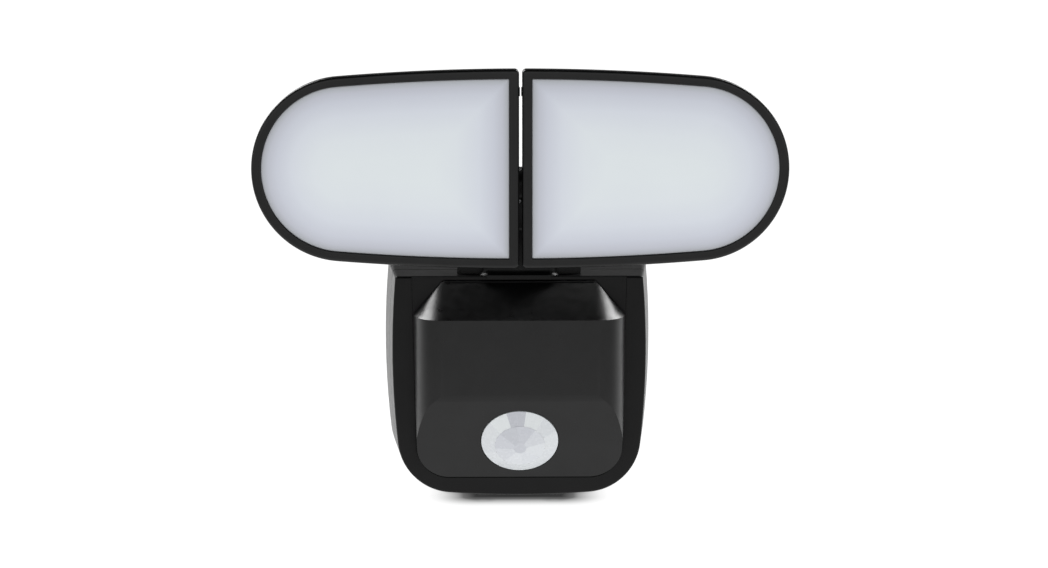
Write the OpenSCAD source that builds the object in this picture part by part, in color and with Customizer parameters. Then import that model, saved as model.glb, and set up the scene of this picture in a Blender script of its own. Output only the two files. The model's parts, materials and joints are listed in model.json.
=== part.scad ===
// Twin-head motion-sensor floodlight for a wall, powered by four C cells.
// X runs to the right, Y into the wall, Z up. The wall is the plane Y = 0.
// The origin is the centre of the wall bracket's four screw holes.

/* [Lamp heads] */
// Width over both heads
heads_w = 243; // [236:1:250]
// Height of a head at its inner edge
head_h = 90.1; // [88:0.1:91]
// Height of the heads' centre above the bracket's centre
head_z = 105.5; // [105:0.25:110]
// Radius of a head's round outer end
head_end_r = 41.8; // [40:0.1:42.5]
// Gap between the two heads
head_gap = 1.4; // [1.2:0.1:2]
// Width of the black rim around a diffuser
head_rim = 4.4; // [4:0.1:6]
// Distance of the heads' front face from the wall
head_front = 104; // [104:0.5:108]
// Depth of a head's bezel
bezel_d = 9; // [8:0.5:10]
// Depth of a head from its front face to its back
head_d = 21; // [20:0.5:21]
// Columns of LEDs in a head
led_cols = 9; // [5:1:11]
// Rows of LEDs in a head
led_rows = 5; // [3:1:6]

/* [Neck and hinge] */
// Distance of the tilt axis from the wall
tilt_y = 74; // [74:0.5:75]
// Height of the tilt axis
tilt_z = 96; // [94:0.5:98]
// Radius of the hinge barrel
barrel_r = 8.3; // [8:0.1:8.4]
// Half length of the hinge barrel
barrel_half = 10.8; // [10:0.1:11]
// Distance of a pan pin from the centre plane
pan_x = 26; // [26:0.5:28]
// Radius of a pan pin
pan_pin_r = 2.5; // [2:0.1:3]
// Radial clearance of a running fit
run_gap = 0.05; // [0.02:0.01:0.1]
// Width of the neck column
neck_w = 34; // [30:1:36]
// Width of the neck's foot block
foot_w = 58; // [50:1:60]

/* [Body] */
// Greatest half width of the body's front face
body_half = 59.4; // [58:0.1:62]
// Height of the widest line of the body
body_wide_z = 17; // [10:1:20]
// Top of the body's front face
body_top = 52.2; // [51:0.1:53]
// Bottom of the body's front face
body_bottom = -51.6; // [-53:0.1:-51]
// Distance of the body's front face from the wall
body_front = 64; // [62:0.5:65]
// Distance of the body's back from the wall
body_back = 6; // [6:0.5:7]
// Distance of the parting line from the wall
part_line = 42; // [41:0.5:43]
// How far the sides lean out from the front to the back
side_draft = 4.9; // [3:0.1:6]
// Radius of the body's lower corners
body_corner_r = 26; // [24:1:30]
// Wall thickness of the shells
wall = 2.4; // [2:0.1:3]

/* [Sensor housing] */
// Distance of the housing's front from the wall
pod_front = 90; // [86:0.5:92]
// Half width of the housing where it meets the body
pod_half = 49.6; // [48:0.1:50]
// Half width of the roof's upper edge
pod_roof_half = 35.5; // [34:0.5:39]
// Height of the roof's upper edge
pod_top = 50.6; // [50:0.1:51]
// Height of the crease between roof and front
pod_crease = 34.8; // [33:0.1:36]
// Height where the slanted face begins
pod_knee = -1.6; // [-4:0.1:0]
// Lowest point of the housing
pod_bottom = -42.5; // [-44:0.5:-42]
// Diameter of the motion sensor's lens
lens_d = 36; // [34:0.5:37]
// Height of the lens dome
lens_dome = 5.5; // [4:0.5:7]

/* [Power and mounting] */
// Diameter of a C cell
cell_d = 26.2; // [26.2]
// Length of a C cell
cell_l = 50; // [50]
// Spacing of the wall screws along X
bracket_x = 60; // [50:5:70]
// Spacing of the wall screws along Z
bracket_z = 44; // [40:2:48]
// Diameter of the wall screw holes
bracket_hole = 5; // [4:0.5:6]
// How far the light lifts to leave its bracket
lift = 8; // [6:1:9]

/* [Hidden] */
$fn = 48;

black = "#1c1d1e";
dark = "#2a2b2c";
rubber = "#111213";
steel = "#b9bcc0";
white = "#e6e9ea";
board_green = "#1f5a3a";

thin = 0.01;             // thickness of a slice that a hull joins
slack = 0.05;            // clearance between pieces that are fastened together
body_bow_r = 400;        // radius of the body's bowed sides
bottom_bow_r = 450;      // radius of the body's bowed bottom
body_top_r = 1.2;        // radius of the body's upper corners
body_edge = 2.2;         // rounding of the body's front edge
body_depth = body_front - body_back;

// Screws that hold the two body shells together, as [x, z]
shell_screw_at = [[-48, 44], [48, 44], [-38, -43], [38, -43]];

// A head's top and bottom edges are one arc that meets the round end smoothly.
head_end_x = heads_w / 2 - head_end_r;
head_bow_r = (pow(head_end_x, 2) + pow(head_h / 2, 2) - pow(head_end_r, 2))
             / (head_h - 2 * head_end_r);
head_bow_z = head_z + head_h / 2 - head_bow_r;
head_tangent = atan2(head_z - head_bow_z, head_end_x);
head_back = head_front - head_d;
bezel_back = head_front - bezel_d;
// Screws that hold a head's back shell to its bezel follow the rim.
// Each is [x, distance from the head's centre line].
screw_inset = 5.2;
screw_bow_r = head_bow_r - screw_inset;
screw_a = 32;            // angle of the outermost screw around the round end
head_screw_at = concat(
  [for (x = [9, 56]) [x, head_bow_z + sqrt(pow(screw_bow_r, 2) - x * x) - head_z]],
  [[head_end_x + (head_end_r - screw_inset) * cos(screw_a), (head_end_r - screw_inset) * sin(screw_a)]]);

arm_half = 5.6;          // half height of a tilt arm's pan barrel
ear_gap = 0.8;           // space between an ear and the pan barrel, which the washer shares
ear_t = 5.2;             // thickness of an ear
hinge_half = arm_half + ear_gap + ear_t;
ear_r = 5.5;             // radius of an ear and of the pan barrel
stub_r = 5;              // radius of a tilt arm's stub in the hinge barrel
knuckle_x = barrel_half + 0.7;

// The slanted face of the sensor housing
slant_foot_y = 66;
slant = atan2(pod_front - slant_foot_y, pod_knee - pod_bottom);
lens_z = -23.5;
lens_y = -pod_front + (pod_knee - lens_z) * tan(slant);
pod_corner_w = 15;       // width of the housing's round front corners
pod_corner_n = 2.3;      // how square those corners are: 2 is an ellipse
pod_low_corner_r = 15;   // rounding of the housing's lower corners
pod_low_taper = 1.8;     // how much each side leans in from the crease to the lower corners
plate_t = 1.2;           // thickness of the housing's plate, which lies in the front shell
plate_rim = 0.6;         // how far the plate stands out beyond the housing
plate_gap = 0.25;        // gap around the plate
face_t = wall + 0.3 * cos(slant);   // thickness of the slanted face
lens_flange = 1.2;       // how far the lens's flange stands out behind that face

cell_y = -body_back - wall - 1.2 - cell_d / 2;
cell_pitch = cell_d + 0.6;
cradle_front = cell_y - cell_d / 2 - 2;
bay_half = 2 * cell_pitch + 1;
bay_z = cell_l / 2 + 4;

panel_z = -50.6;         // floor of the recess that holds the controls
dial_x = 17;
control_y = -51;
recess_w = 56;
recess_d = 14;

function arc(c, r, from, to, n) =
  [for (i = [0 : n]) let (a = from + (to - from) * i / n) [c[0] + r * cos(a), c[1] + r * sin(a)]];

// The point at r1 from c1 and r2 from c2, to the right of the line from c1 to c2
function meet(c1, r1, c2, r2) =
  let (d = norm(c2 - c1), u = (c2 - c1) / d, a = (r1 * r1 - r2 * r2 + d * d) / (2 * d),
       h = sqrt(r1 * r1 - a * a))
  c1 + a * u + h * [u[1], -u[0]];

// A closed outline from its right half, listed from the top down
function both_sides(right) =
  concat(right, [for (i = [len(right) - 1 : -1 : 0]) [-right[i][0], right[i][1]]]);

// The body's outline, grown by g at the sides and bottom and by t at the top
side_c = [body_half - body_bow_r, body_wide_z];
low_c = [0, body_bottom + bottom_bow_r];
corner_c = meet(side_c, body_bow_r - body_corner_r, low_c, bottom_bow_r - body_corner_r);
function body_outline(g = 0, t = 0) =
  let (rt = max(body_top_r + 0.3 * g, 0.8), top_z = body_top + t - rt,
       top_x = side_c[0] + sqrt(pow(body_bow_r + g - rt, 2) - pow(top_z - body_wide_z, 2)),
       side_a = atan2(top_z - body_wide_z, top_x - side_c[0]),
       corner_a = atan2(corner_c[1] - side_c[1], corner_c[0] - side_c[0]),
       low_a = atan2(corner_c[1] - low_c[1], corner_c[0] - low_c[0]))
  both_sides(concat(
    arc([top_x, top_z], rt, 90, side_a, 6),
    arc(side_c, body_bow_r + g, side_a, corner_a, 10),
    arc(corner_c, body_corner_r + g, corner_a, low_a, 14),
    arc(low_c, bottom_bow_r + g, low_a, -89.7, 4)));

// The outline of the right head, inset all round
function head_outline(inset = 0) =
  let (x_in = head_gap / 2 + inset, rc = max(2 - inset, 0.5), r = head_bow_r - inset,
       cx = x_in + rc, cz = head_bow_z + sqrt(pow(r - rc, 2) - cx * cx),
       a = atan2(cz - head_bow_z, cx),
       top = concat(arc([cx, cz], rc, 180, a, 4), arc([0, head_bow_z], r, a, head_tangent, 8),
                    arc([head_end_x, head_z], head_end_r - inset, head_tangent, 0, 18)))
  concat(top, [for (i = [len(top) - 2 : -1 : 0]) [top[i][0], 2 * head_z - top[i][1]]]);

// The sensor housing seen from above: a flat front between superelliptic corners
function pod_plan(inset = 0) =
  let (w = pod_corner_w - inset, d = pod_front - body_front - inset, e = 2 / pod_corner_n)
  both_sides([for (a = [0 : 7.5 : 90])
    [pod_half - pod_corner_w + w * pow(cos(a), e), -body_front - d * pow(sin(a), e)]]);

// The sensor housing seen from the front, up to a height
function pod_face(inset = 0, top = pod_crease) =
  let (r = pod_low_corner_r - inset, hx = pod_half - inset - pod_low_taper)
  both_sides(concat([[pod_half - inset, top]], arc([hx - r, pod_bottom + inset + r], r, 0, -90, 10)));

// The opening between the body and the sensor housing
pod_window = both_sides([[34, 34], [40, 28], [40, -28], [29, -39.5]]);

// A flat shape drawn as [x, z], from depth near to depth far in front of the wall
module along_y(near, far)
  translate([0, -near, 0]) rotate([90, 0, 0]) linear_extrude(far - near) children();

// A flat shape drawn as [y, z], from x0 to x1
module along_x(x0, x1)
  translate([x0, 0, 0]) rotate([90, 0, 90]) linear_extrude(x1 - x0) children();

// A flat ring between two outlines
module ring(outer, inner, near, far)
  along_y(near, far) difference() {
    polygon(outer);
    polygon(inner);
  }

module rod_y(x, z, r, near, far)
  translate([x, -near, z]) rotate([90, 0, 0]) cylinder(r = r, h = far - near);

module rod_x(y, z, r, x0, x1)
  translate([x0, y, z]) rotate([0, 90, 0]) cylinder(r = r, h = x1 - x0);

// A slice of the body at a depth, inset from its outer skin
module body_slice(depth, inset)
  along_y(depth, depth + thin) {
    lean = side_draft * (body_front - depth) / body_depth;
    polygon(body_outline(lean - inset, lean * 0.4 - inset));
  }

// The body's solid form between two depths
module body_form(near, far, inset = 0)
  hull() {
    body_slice(near, inset);
    body_slice(far - thin, inset);
  }

module front_form()
  hull() {
    body_slice(part_line, 0);
    body_slice(body_front - body_edge, 0);
    body_slice(body_front - body_edge * 0.5, body_edge * 0.14);
    body_slice(body_front - body_edge * 0.15, body_edge * 0.48);
    body_slice(body_front - thin, body_edge);
  }

module rear_form()
  hull() {
    body_slice(part_line - thin, 0);
    body_slice(body_back + 1.6, 0);
    body_slice(body_back + 0.5, 0.5);
    body_slice(body_back, 1.5);
  }

// The right head's form: each layer is [depth, inset]
module head_form(layers)
  hull()
    for (l = layers)
      along_y(l[0], l[0] + thin) polygon(head_outline(l[1]));

module screw(x, z, head_at, tip_at, r = 1.5, head_r = 3, head_t = 2) {
  difference() {
    rod_y(x, z, head_r, head_at - head_t, head_at);
    translate([x, -head_at + head_t / 2, z]) cube([head_r * 1.3, head_t * 2, 0.8], center = true);
    translate([x, -head_at + head_t / 2, z]) cube([0.8, head_t * 2, head_r * 1.3], center = true);
  }
  rod_y(x, z, r, head_at, tip_at);
}

// ---- Wall bracket ----
hook_t = 1.6;
hook_w = 10;
hook_reach = body_back + wall + 0.5 + hook_t;
hook_lip = lift - 2;
upper_hook = [35, 39.5];
lower_hook = [22, -42];

module hook(x, z) {
  translate([x - hook_w / 2, -hook_reach, z]) cube([hook_w, hook_reach - 0.4, hook_t]);
  translate([x - hook_w / 2, -hook_reach, z]) cube([hook_w, hook_t, hook_t + hook_lip]);
}

module wall_bracket() color(steel) {
  difference() {
    along_y(0, hook_t) {
      square([bracket_x + 26, bracket_z + 40], center = true);
      square([bracket_x - 4, bracket_z + 46], center = true);
    }
    for (sx = [-1, 1], sz = [-1, 1])
      rod_y(sx * bracket_x / 2, sz * bracket_z / 2, bracket_hole / 2, -1, 3);
  }
  for (sx = [-1, 1]) {
    hook(sx * upper_hook[0], upper_hook[1]);
    hook(sx * lower_hook[0], lower_hook[1]);
  }
}

module hook_slot(at)
  for (sx = [-1, 1])
    translate([sx * at[0], -body_back - wall / 2, at[1] + (hook_t - lift) / 2])
      cube([hook_w + 2, wall * 3, lift + hook_t + 0.6], center = true);

// ---- Body shells ----
module rear_shell() color(black) {
  difference() {
    union() {
      difference() {
        rear_form();
        body_form(body_back + wall, part_line + 1, wall);
      }
      for (p = shell_screw_at) rod_y(p[0], p[1], 4.8, body_back + 1, part_line - 0.3);
      for (p = cover_screw_at) rod_y(p[0], p[1], cover_boss_r, body_back + 2, cover_boss_at);
    }
    translate([0, -body_back, 0]) cube([2 * bay_half - 4, 3 * wall, 2 * bay_z - 4], center = true);
    translate([0, -body_back, 0]) cube([2 * bay_half + 4, 3, 2 * bay_z + 4], center = true);
    hook_slot(upper_hook);
    hook_slot(lower_hook);
    for (p = shell_screw_at) {
      rod_y(p[0], p[1], 1.9, 0, part_line + 1);
      rod_y(p[0], p[1], 3.3, 0, body_back + 5);
    }
    for (p = cover_screw_at) rod_y(p[0], p[1], 1.3, 0, cover_boss_at - 1);
    along_y(part_line - 0.3, part_line + 1) square(200, center = true);
  }
}

module front_shell() color(black) {
  difference() {
    union() {
      difference() {
        front_form();
        body_form(part_line - 1, body_front - wall, wall);
      }
      for (p = shell_screw_at) rod_y(p[0], p[1], 3.6, part_line + 0.3, body_front - 1);
      // floor of the control recess
      translate([-recess_w / 2 - 3, -body_front + 1, panel_z - 1])
        cube([recess_w + 6, body_front - part_line - 3, wall + 1]);
      for (sx = [-1, 1]) translate([sx * 24.6, control_y, panel_z])
        cylinder(r = 1.8, h = control_board_z - panel_z);
    }
    for (p = shell_screw_at) rod_y(p[0], p[1], 1.5 + slack, 0, body_front - 6);
    along_y(part_line - 1, part_line + 0.3) square(200, center = true);
    // seat for the sensor housing's plate, with an opening behind it
    along_y(body_front - plate_t, body_front + 1)
      polygon(pod_face(-plate_rim - plate_gap, body_top + 5));
    along_y(body_front - wall - 1, body_front + 1) polygon(pod_window);
    // recess for the controls
    translate([-recess_w / 2, control_y - recess_d / 2, panel_z - 10]) cube([recess_w, recess_d, 10]);
    for (sx = [-1, 1]) translate([sx * dial_x, control_y, -60]) cylinder(r = 2.6, h = 20);
    translate([0, control_y, -60]) cylinder(r = 4.3, h = 20);
    // flat seat for the neck, with holes for its screws and leads
    translate([0, 0, body_top]) linear_extrude(5) neck_plan(neck_flare + 0.3);
    for (p = neck_screw_at) translate([p[0], p[1], 40]) cylinder(r = 1.9, h = 20);
    translate([0, -neck_lead_y, 40]) cylinder(r = 4, h = 20);
    for (p = pod_screw_at) rod_y(p[0], p[1], 1.9, 50, 70);
  }
}

module shell_gasket() color(rubber)
  along_y(part_line - 0.3, part_line + 0.3) difference() {
    lean = side_draft * (body_front - part_line) / body_depth;
    polygon(body_outline(lean - 0.7, lean * 0.4 - 0.7));
    polygon(body_outline(lean - wall, lean * 0.4 - wall));
  }

module shell_screws() color(steel)
  for (p = shell_screw_at) screw(p[0], p[1], body_back + 5, body_front - 8, head_r = 3.1);

// ---- Battery compartment ----
cover_t = 1.1;
cover_boss_r = 2.5;
cover_boss_at = body_back + wall + 4;
cover_screw_at = [[-bay_half + 1, -bay_z - 0.5], [bay_half - 1, -bay_z - 0.5],
                  [-bay_half + 1, bay_z + 0.5], [bay_half - 1, bay_z + 0.5]];

module battery_cover() color(black)
  difference() {
    along_y(body_back, body_back + cover_t) square([2 * bay_half + 3.4, 2 * bay_z + 3.4], center = true);
    for (p = cover_screw_at) rod_y(p[0], p[1], 1.6, 0, 20);
    for (i = [-3 : 3]) translate([0, -body_back, i * 6]) cube([40, 0.8, 1.6], center = true);
  }

module cover_gasket() color(rubber)
  along_y(body_back + cover_t, body_back + 1.5) difference() {
    square([2 * bay_half + 2, 2 * bay_z + 2], center = true);
    square([2 * bay_half - 3, 2 * bay_z - 3], center = true);
    for (p = cover_screw_at) translate(p) circle(1.8);
  }

module cover_screws() color(steel)
  for (p = cover_screw_at)
    screw(p[0], p[1], body_back, cover_boss_at - 1.5, r = 1.25, head_r = 2.4, head_t = 1.2);

module battery_cradle() color(dark)
  difference() {
    union() {
      along_y(body_back + wall, -cradle_front) square([2 * bay_half, 2 * bay_z], center = true);
      for (p = board_post_at) rod_y(p[0], p[1], 3.2, -cradle_front - 1, board_at);
    }
    for (i = [0 : 3]) translate([(i - 1.5) * cell_pitch, cell_y, -bay_z + 1.6])
      cylinder(r = cell_d / 2 + 0.25, h = 2 * bay_z - 3.2);
    along_y(body_back, -cell_y) square([4 * cell_pitch - 0.6, 2 * bay_z - 3.2], center = true);
    for (p = board_post_at) rod_y(p[0], p[1], 1.35, -cradle_front + 1, board_at + 1);
    for (p = cover_screw_at) rod_y(p[0], p[1], cover_boss_r + 0.3, body_back, cover_boss_at + 0.3);
  }

module battery_cell(i)
  translate([(i - 2.5) * cell_pitch, cell_y, 0]) {
    color("#7c8288") cylinder(r = cell_d / 2, h = cell_l - 1.5, center = true);
    color(steel) translate([0, 0, (i % 2 == 0 ? -1 : 1) * (cell_l / 2 - 0.5)])
      cylinder(r = 3.6, h = 1, center = true);
  }

// Each cell's spring is a stack of turns that shrink towards the cell.
module battery_springs() color(steel)
  for (i = [1 : 4]) {
    up = i % 2 == 0 ? 1 : -1;
    translate([(i - 2.5) * cell_pitch, cell_y, up * (bay_z - 2.2)])
      for (k = [0 : 2]) translate([0, 0, -up * k * 0.7])
        rotate_extrude() translate([6 - k * 1.2, 0]) circle(r = 0.35, $fn = 16);
  }

module battery_contacts() color(steel)
  for (i = [1 : 4]) {
    up = i % 2 == 0 ? -1 : 1;
    translate([(i - 2.5) * cell_pitch, cell_y, up * (bay_z - 2.4)]) cube([12, 12, 0.8], center = true);
  }

// ---- Main board ----
board_at = part_line + 3;
board_post_at = [[-40, 24], [40, 24], [-40, -24], [40, -24]];

module main_board() color(board_green)
  along_y(board_at, board_at + 1.6) difference() {
    translate([-45, -31]) square([90, 70]);
    for (p = board_post_at) translate(p) circle(1.6);
    for (sx = [-1, 1]) translate([sx * 46, 41]) circle(6);
  }

module board_components() color(dark) {
  f = board_at + 1.6;
  translate([-30, -f - 8, 6]) cube([16, 8, 16]);
  translate([12, -f - 2, 10]) cube([14, 2, 14]);
  translate([-8, -f - 3, -22]) cube([18, 3, 9]);
  for (x = [-24, -13]) rod_y(x, -14, 4, f, f + 9);
  rod_y(30, -14, 5, f, f + 5);
  for (x = [-3, 3]) translate([x - 1, -f - 1.4, 4]) cube([2, 1.4, 4]);
  for (x = [14, 19, 24]) translate([x, -f - 1.1, 0]) cube([2.4, 1.1, 1.6]);
}

module board_screws() color(steel)
  for (p = board_post_at) {
    rod_y(p[0], p[1], 1.3, -cradle_front + 1.5, board_at + 1.6);
    difference() {
      rod_y(p[0], p[1], 2.6, board_at + 1.6, board_at + 3.2);
      translate([p[0], -board_at - 3.2, p[1]]) cube([4, 1.6, 0.7], center = true);
    }
  }

// ---- Sensor housing ----
pod_screw_at = [[-45, 24], [45, 24], [-45, -8], [45, -8]];

// The housing's form: a prism with round front corners, cut by the slanted face,
// under a roof whose corners are cones that end at the roof's upper edge
module pod_form(inset = 0) {
  hull() {
    translate([0, 0, pod_crease - inset - thin]) linear_extrude(thin) polygon(pod_plan(inset));
    translate([-pod_roof_half + inset, -body_front - 0.1, pod_top - inset - thin])
      cube([2 * (pod_roof_half - inset), 0.1, thin]);
  }
  intersection() {
    translate([0, 0, pod_bottom])
      linear_extrude(pod_crease - inset - pod_bottom) polygon(pod_plan(inset));
    along_y(body_front, pod_front) polygon(pod_face(inset));
    along_x(-60, 60) polygon([
      [-body_front, pod_crease], [-pod_front - 1, pod_crease], [-pod_front - 1, pod_knee - inset * 0.2],
      [-pod_front + inset / cos(slant), pod_knee], [-slant_foot_y + inset / cos(slant), pod_bottom],
      [-slant_foot_y + inset / cos(slant), pod_bottom - 1], [-body_front, pod_bottom - 1]]);
  }
}

// The lens's own frame: Z leaves the slanted face at right angles, Y climbs it
module on_lens_face()
  translate([0, lens_y, lens_z]) rotate([90 + slant, 0, 0]) children();

module sensor_housing() color(black)
  difference() {
    union() {
      difference() {
        pod_form();
        translate([0, 0.3, 0]) pod_form(wall);
      }
      along_y(body_front - plate_t, body_front) difference() {
        polygon(pod_face(-plate_rim, body_top - 0.3));
        polygon(pod_window);
      }
      for (p = pod_screw_at) rod_y(p[0], p[1], 3.2, body_front - plate_t, body_front + 12);
    }
    for (p = pod_screw_at) rod_y(p[0], p[1], 1.3, 50, body_front + 10);
    on_lens_face() translate([0, 0, -face_t - 4]) cylinder(r = lens_d / 2 + slack, h = face_t + 8);
  }

module housing_screws() color(steel)
  for (p = pod_screw_at)
    screw(p[0], p[1], body_front - wall, body_front + 9, r = 1.25, head_r = 2.4, head_t = 1.4);

module pir_lens() color(white) on_lens_face() {
  base_r = lens_d / 2;
  dome_r = (base_r * base_r + lens_dome * lens_dome) / (2 * lens_dome);
  skin = 0.9;
  difference() {
    intersection() {
      translate([0, 0, lens_dome - dome_r]) sphere(r = dome_r, $fn = 96);
      translate([0, 0, -0.2]) cylinder(r = base_r, h = lens_dome + 1);
    }
    translate([0, 0, lens_dome - dome_r]) sphere(r = dome_r - skin, $fn = 96);
  }
  difference() {
    translate([0, 0, -face_t - 1.2]) cylinder(r = base_r, h = face_t + 1.1);
    translate([0, 0, -face_t - 2]) cylinder(r = base_r - 1.4, h = face_t + 3);
  }
  difference() {
    translate([0, 0, -face_t - 1.8]) cylinder(r = base_r + lens_flange, h = 1.2);
    translate([0, 0, -face_t - 3]) cylinder(r = base_r - 1.4, h = 4);
  }
}

module lens_gasket() color(rubber) on_lens_face()
  translate([0, 0, -face_t - 0.6]) difference() {
    cylinder(r = lens_d / 2 + lens_flange, h = 0.6);
    translate([0, 0, -1]) cylinder(r = lens_d / 2 + 0.3, h = 3);
  }

module lens_retainer() color(dark) on_lens_face()
  translate([0, 0, -face_t - 3.3]) difference() {
    cylinder(r = lens_d / 2 + lens_flange, h = 1.5);
    translate([0, 0, -1]) cylinder(r = lens_d / 2 - 2, h = 4);
  }

pir_depth = 15;
module sensor_board() color(board_green) on_lens_face()
  translate([0, 0, -pir_depth]) cube([32, 26, 1.6], center = true);

module pir_element() color(steel) on_lens_face()
  translate([0, 0, -pir_depth + 0.8]) {
    cylinder(r = 4.6, h = 0.6);
    difference() {
      cylinder(r = 4.1, h = 4.2);
      translate([0, 0, 4]) cube([4, 3, 1], center = true);
    }
  }

module daylight_sensor() color("#8a5a3a") on_lens_face()
  translate([10, 0, -pir_depth + 0.8]) cylinder(r = 2.5, h = 2);

// ---- Controls under the body ----
control_board_z = -42;
module control_board() color(board_green)
  translate([-27, control_y - 7, control_board_z]) cube([54, 14, 1.6]);

module dial_potentiometers() color("#5a6a78")
  for (sx = [-1, 1]) translate([sx * dial_x, control_y, control_board_z - 4.4])
    difference() {
      translate([0, 0, 2.2]) cube([9.5, 10, 4.4], center = true);
      translate([0, 0, -1]) cylinder(r = 2 + run_gap, h = 4.4);
    }

module dial(side) color(dark)
  translate([side * dial_x, control_y, 0]) {
    difference() {
      translate([0, 0, panel_z - 2.6]) cylinder(r = 5.5, h = 2.3);
      translate([0, 0, panel_z - 2.6]) cube([1.2, 8, 1.6], center = true);
      for (a = [0 : 30 : 330])
        rotate([0, 0, a]) translate([5.6, 0, panel_z - 3]) cylinder(r = 0.45, h = 4, $fn = 16);
    }
    translate([0, 0, panel_z - 1]) cylinder(r = 2, h = control_board_z - 1.4 - panel_z + 1 - 0.3);
  }

module time_dial() dial(-1);
module range_dial() dial(1);

module mode_button() color(rubber)
  translate([0, control_y, 0]) difference() {
    union() {
      translate([0, 0, panel_z - 1.6]) cylinder(r = 4, h = wall + 2);
      translate([0, 0, panel_z + wall + 0.1]) cylinder(r = 5.4, h = 0.8);
      translate([0, 0, panel_z + wall + 0.1]) cylinder(r = 1.2, h = 1.9);
    }
    translate([0, 0, panel_z - 8.2]) sphere(r = 7);
  }

module button_spring() color(steel)
  translate([0, control_y, 0])
    for (k = [0 : 4]) translate([0, 0, control_board_z - 0.35 - k * 1.1])
      rotate_extrude() translate([4.6, 0]) circle(r = 0.3, $fn = 16);

module button_switch() color(dark)
  translate([0, control_y, control_board_z - 1.5]) cube([5.2, 5.2, 3], center = true);

// ---- Neck ----
neck_front = body_front + 1;
neck_back = part_line + 2.5;
neck_lead_y = 54;
neck_screw_at = [[-23, -50], [23, -50], [-11, -58], [11, -58]];
foot_front = 56;         // distance of the foot block's front from the wall
foot_base = body_top + 0.2;
foot_top = 62;
neck_flare = 1.6;        // how far the column spreads at its base
neck_lip_z = 50.9;       // lower edge of the lip that laps the body's front edge

// Where the neck stands on the body, grown by g
module neck_plan(g) {
  for (size = [[foot_w, foot_front], [neck_w, neck_front]])
    translate([-size[0] / 2 - g, -size[1] - g])
      square([size[0] + 2 * g, size[1] - neck_back + 2 * g]);
}

// The round corners of the neck's column over half a millimetre, spread by g
module column_slice(z, g = 0) {
  r = 4;
  for (sx = [-1, 1], y = [neck_front + g - r, neck_back + r])
    translate([sx * (neck_w / 2 + g - r), -y, z]) cylinder(r = r, h = 0.5, $fn = 32);
}

// The neck's solid form: a foot block, a column with round corners and the barrel's web
module neck_form() {
  translate([-foot_w / 2, -foot_front, foot_base])
    cube([foot_w, foot_front - neck_back, foot_top - foot_base]);
  translate([-neck_w / 2 + 2, -neck_front, neck_lip_z]) cube([neck_w - 4, 0.75, 3]);
  hull() {
    column_slice(foot_base, neck_flare);
    column_slice(foot_base + 2, -neck_flare / 2);
  }
  hull() {
    column_slice(foot_base, neck_flare / 2);
    column_slice(foot_base + 4, -neck_flare / 4);
  }
  hull() {
    column_slice(foot_base);
    column_slice(tilt_z - 22);
  }
  hull() {
    column_slice(tilt_z - 22.5);
    for (sx = [-1, 1], y = [neck_front - 1, neck_back + 6])
      translate([sx * (barrel_half - 2), -y, tilt_z - 6]) cylinder(r = 2, h = 8, $fn = 32);
  }
}

module neck() color(black)
  difference() {
    union() {
      neck_form();
      along_x(-barrel_half, barrel_half) difference() {
        union() {
          translate([-tilt_y, tilt_z]) circle(barrel_r);
          polygon([[-tilt_y, tilt_z - barrel_r], [-tilt_y, tilt_z + barrel_r],
                   [-neck_front + 4, tilt_z + barrel_r - 3], [-neck_front + 4, tilt_z - 21],
                   [-neck_front - 0.01, tilt_z - 21]]);
        }
        translate([-tilt_y - 20, tilt_z - 20]) square([20, 40]);
      }
    }
    rod_x(-tilt_y, tilt_z, stub_r + run_gap, -20, 20);
    rod_x(-tilt_y, tilt_z, 6.6, -6.2, 6.2);
    // channel for the leads
    translate([0, -neck_lead_y, 0]) cylinder(r = 4, h = tilt_z - 2);
    translate([-3, -tilt_y, tilt_z - 6]) cube([6, tilt_y - neck_lead_y, 6]);
    for (p = neck_screw_at) translate([p[0], p[1], foot_base - 1]) cylinder(r = 1.3, h = 9);
    for (z = cap_screw_z) rod_y(0, z, 1.3, tilt_y - 9, tilt_y + 1);
  }

module neck_gasket() color(rubber)
  translate([0, 0, body_top]) linear_extrude(0.2) difference() {
    intersection() {
      neck_plan(-1);
      translate([-foot_w / 2, -body_front + 1.6]) square([foot_w, body_front]);
    }
    for (p = neck_screw_at) translate(p) circle(2);
    translate([0, -neck_lead_y]) circle(4.2);
  }

module neck_screws() color(steel)
  for (p = neck_screw_at) translate([p[0], p[1], 0]) {
    translate([0, 0, body_top - wall - 1.5]) cylinder(r = 2.6, h = 1.6);
    translate([0, 0, body_top - wall - 1]) cylinder(r = 1.25, h = 10);
  }

cap_screw_z = [tilt_z - 7.4, tilt_z + 7.4];
module neck_cap() color(black)
  difference() {
    intersection() {
      rod_x(-tilt_y, tilt_z, barrel_r, -barrel_half, barrel_half);
      translate([-20, -tilt_y - 20, tilt_z - 20]) cube([40, 19.95, 40]);
    }
    rod_x(-tilt_y, tilt_z, stub_r + run_gap, -20, 20);
    rod_x(-tilt_y, tilt_z, 6.6, -6.2, 6.2);
    for (z = cap_screw_z) rod_y(0, z, 0.8, tilt_y - 2, tilt_y + 9);
  }

module cap_screws() color(steel)
  for (z = cap_screw_z) rod_y(0, z, 0.75, tilt_y - 3, tilt_y + 2.5);

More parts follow.
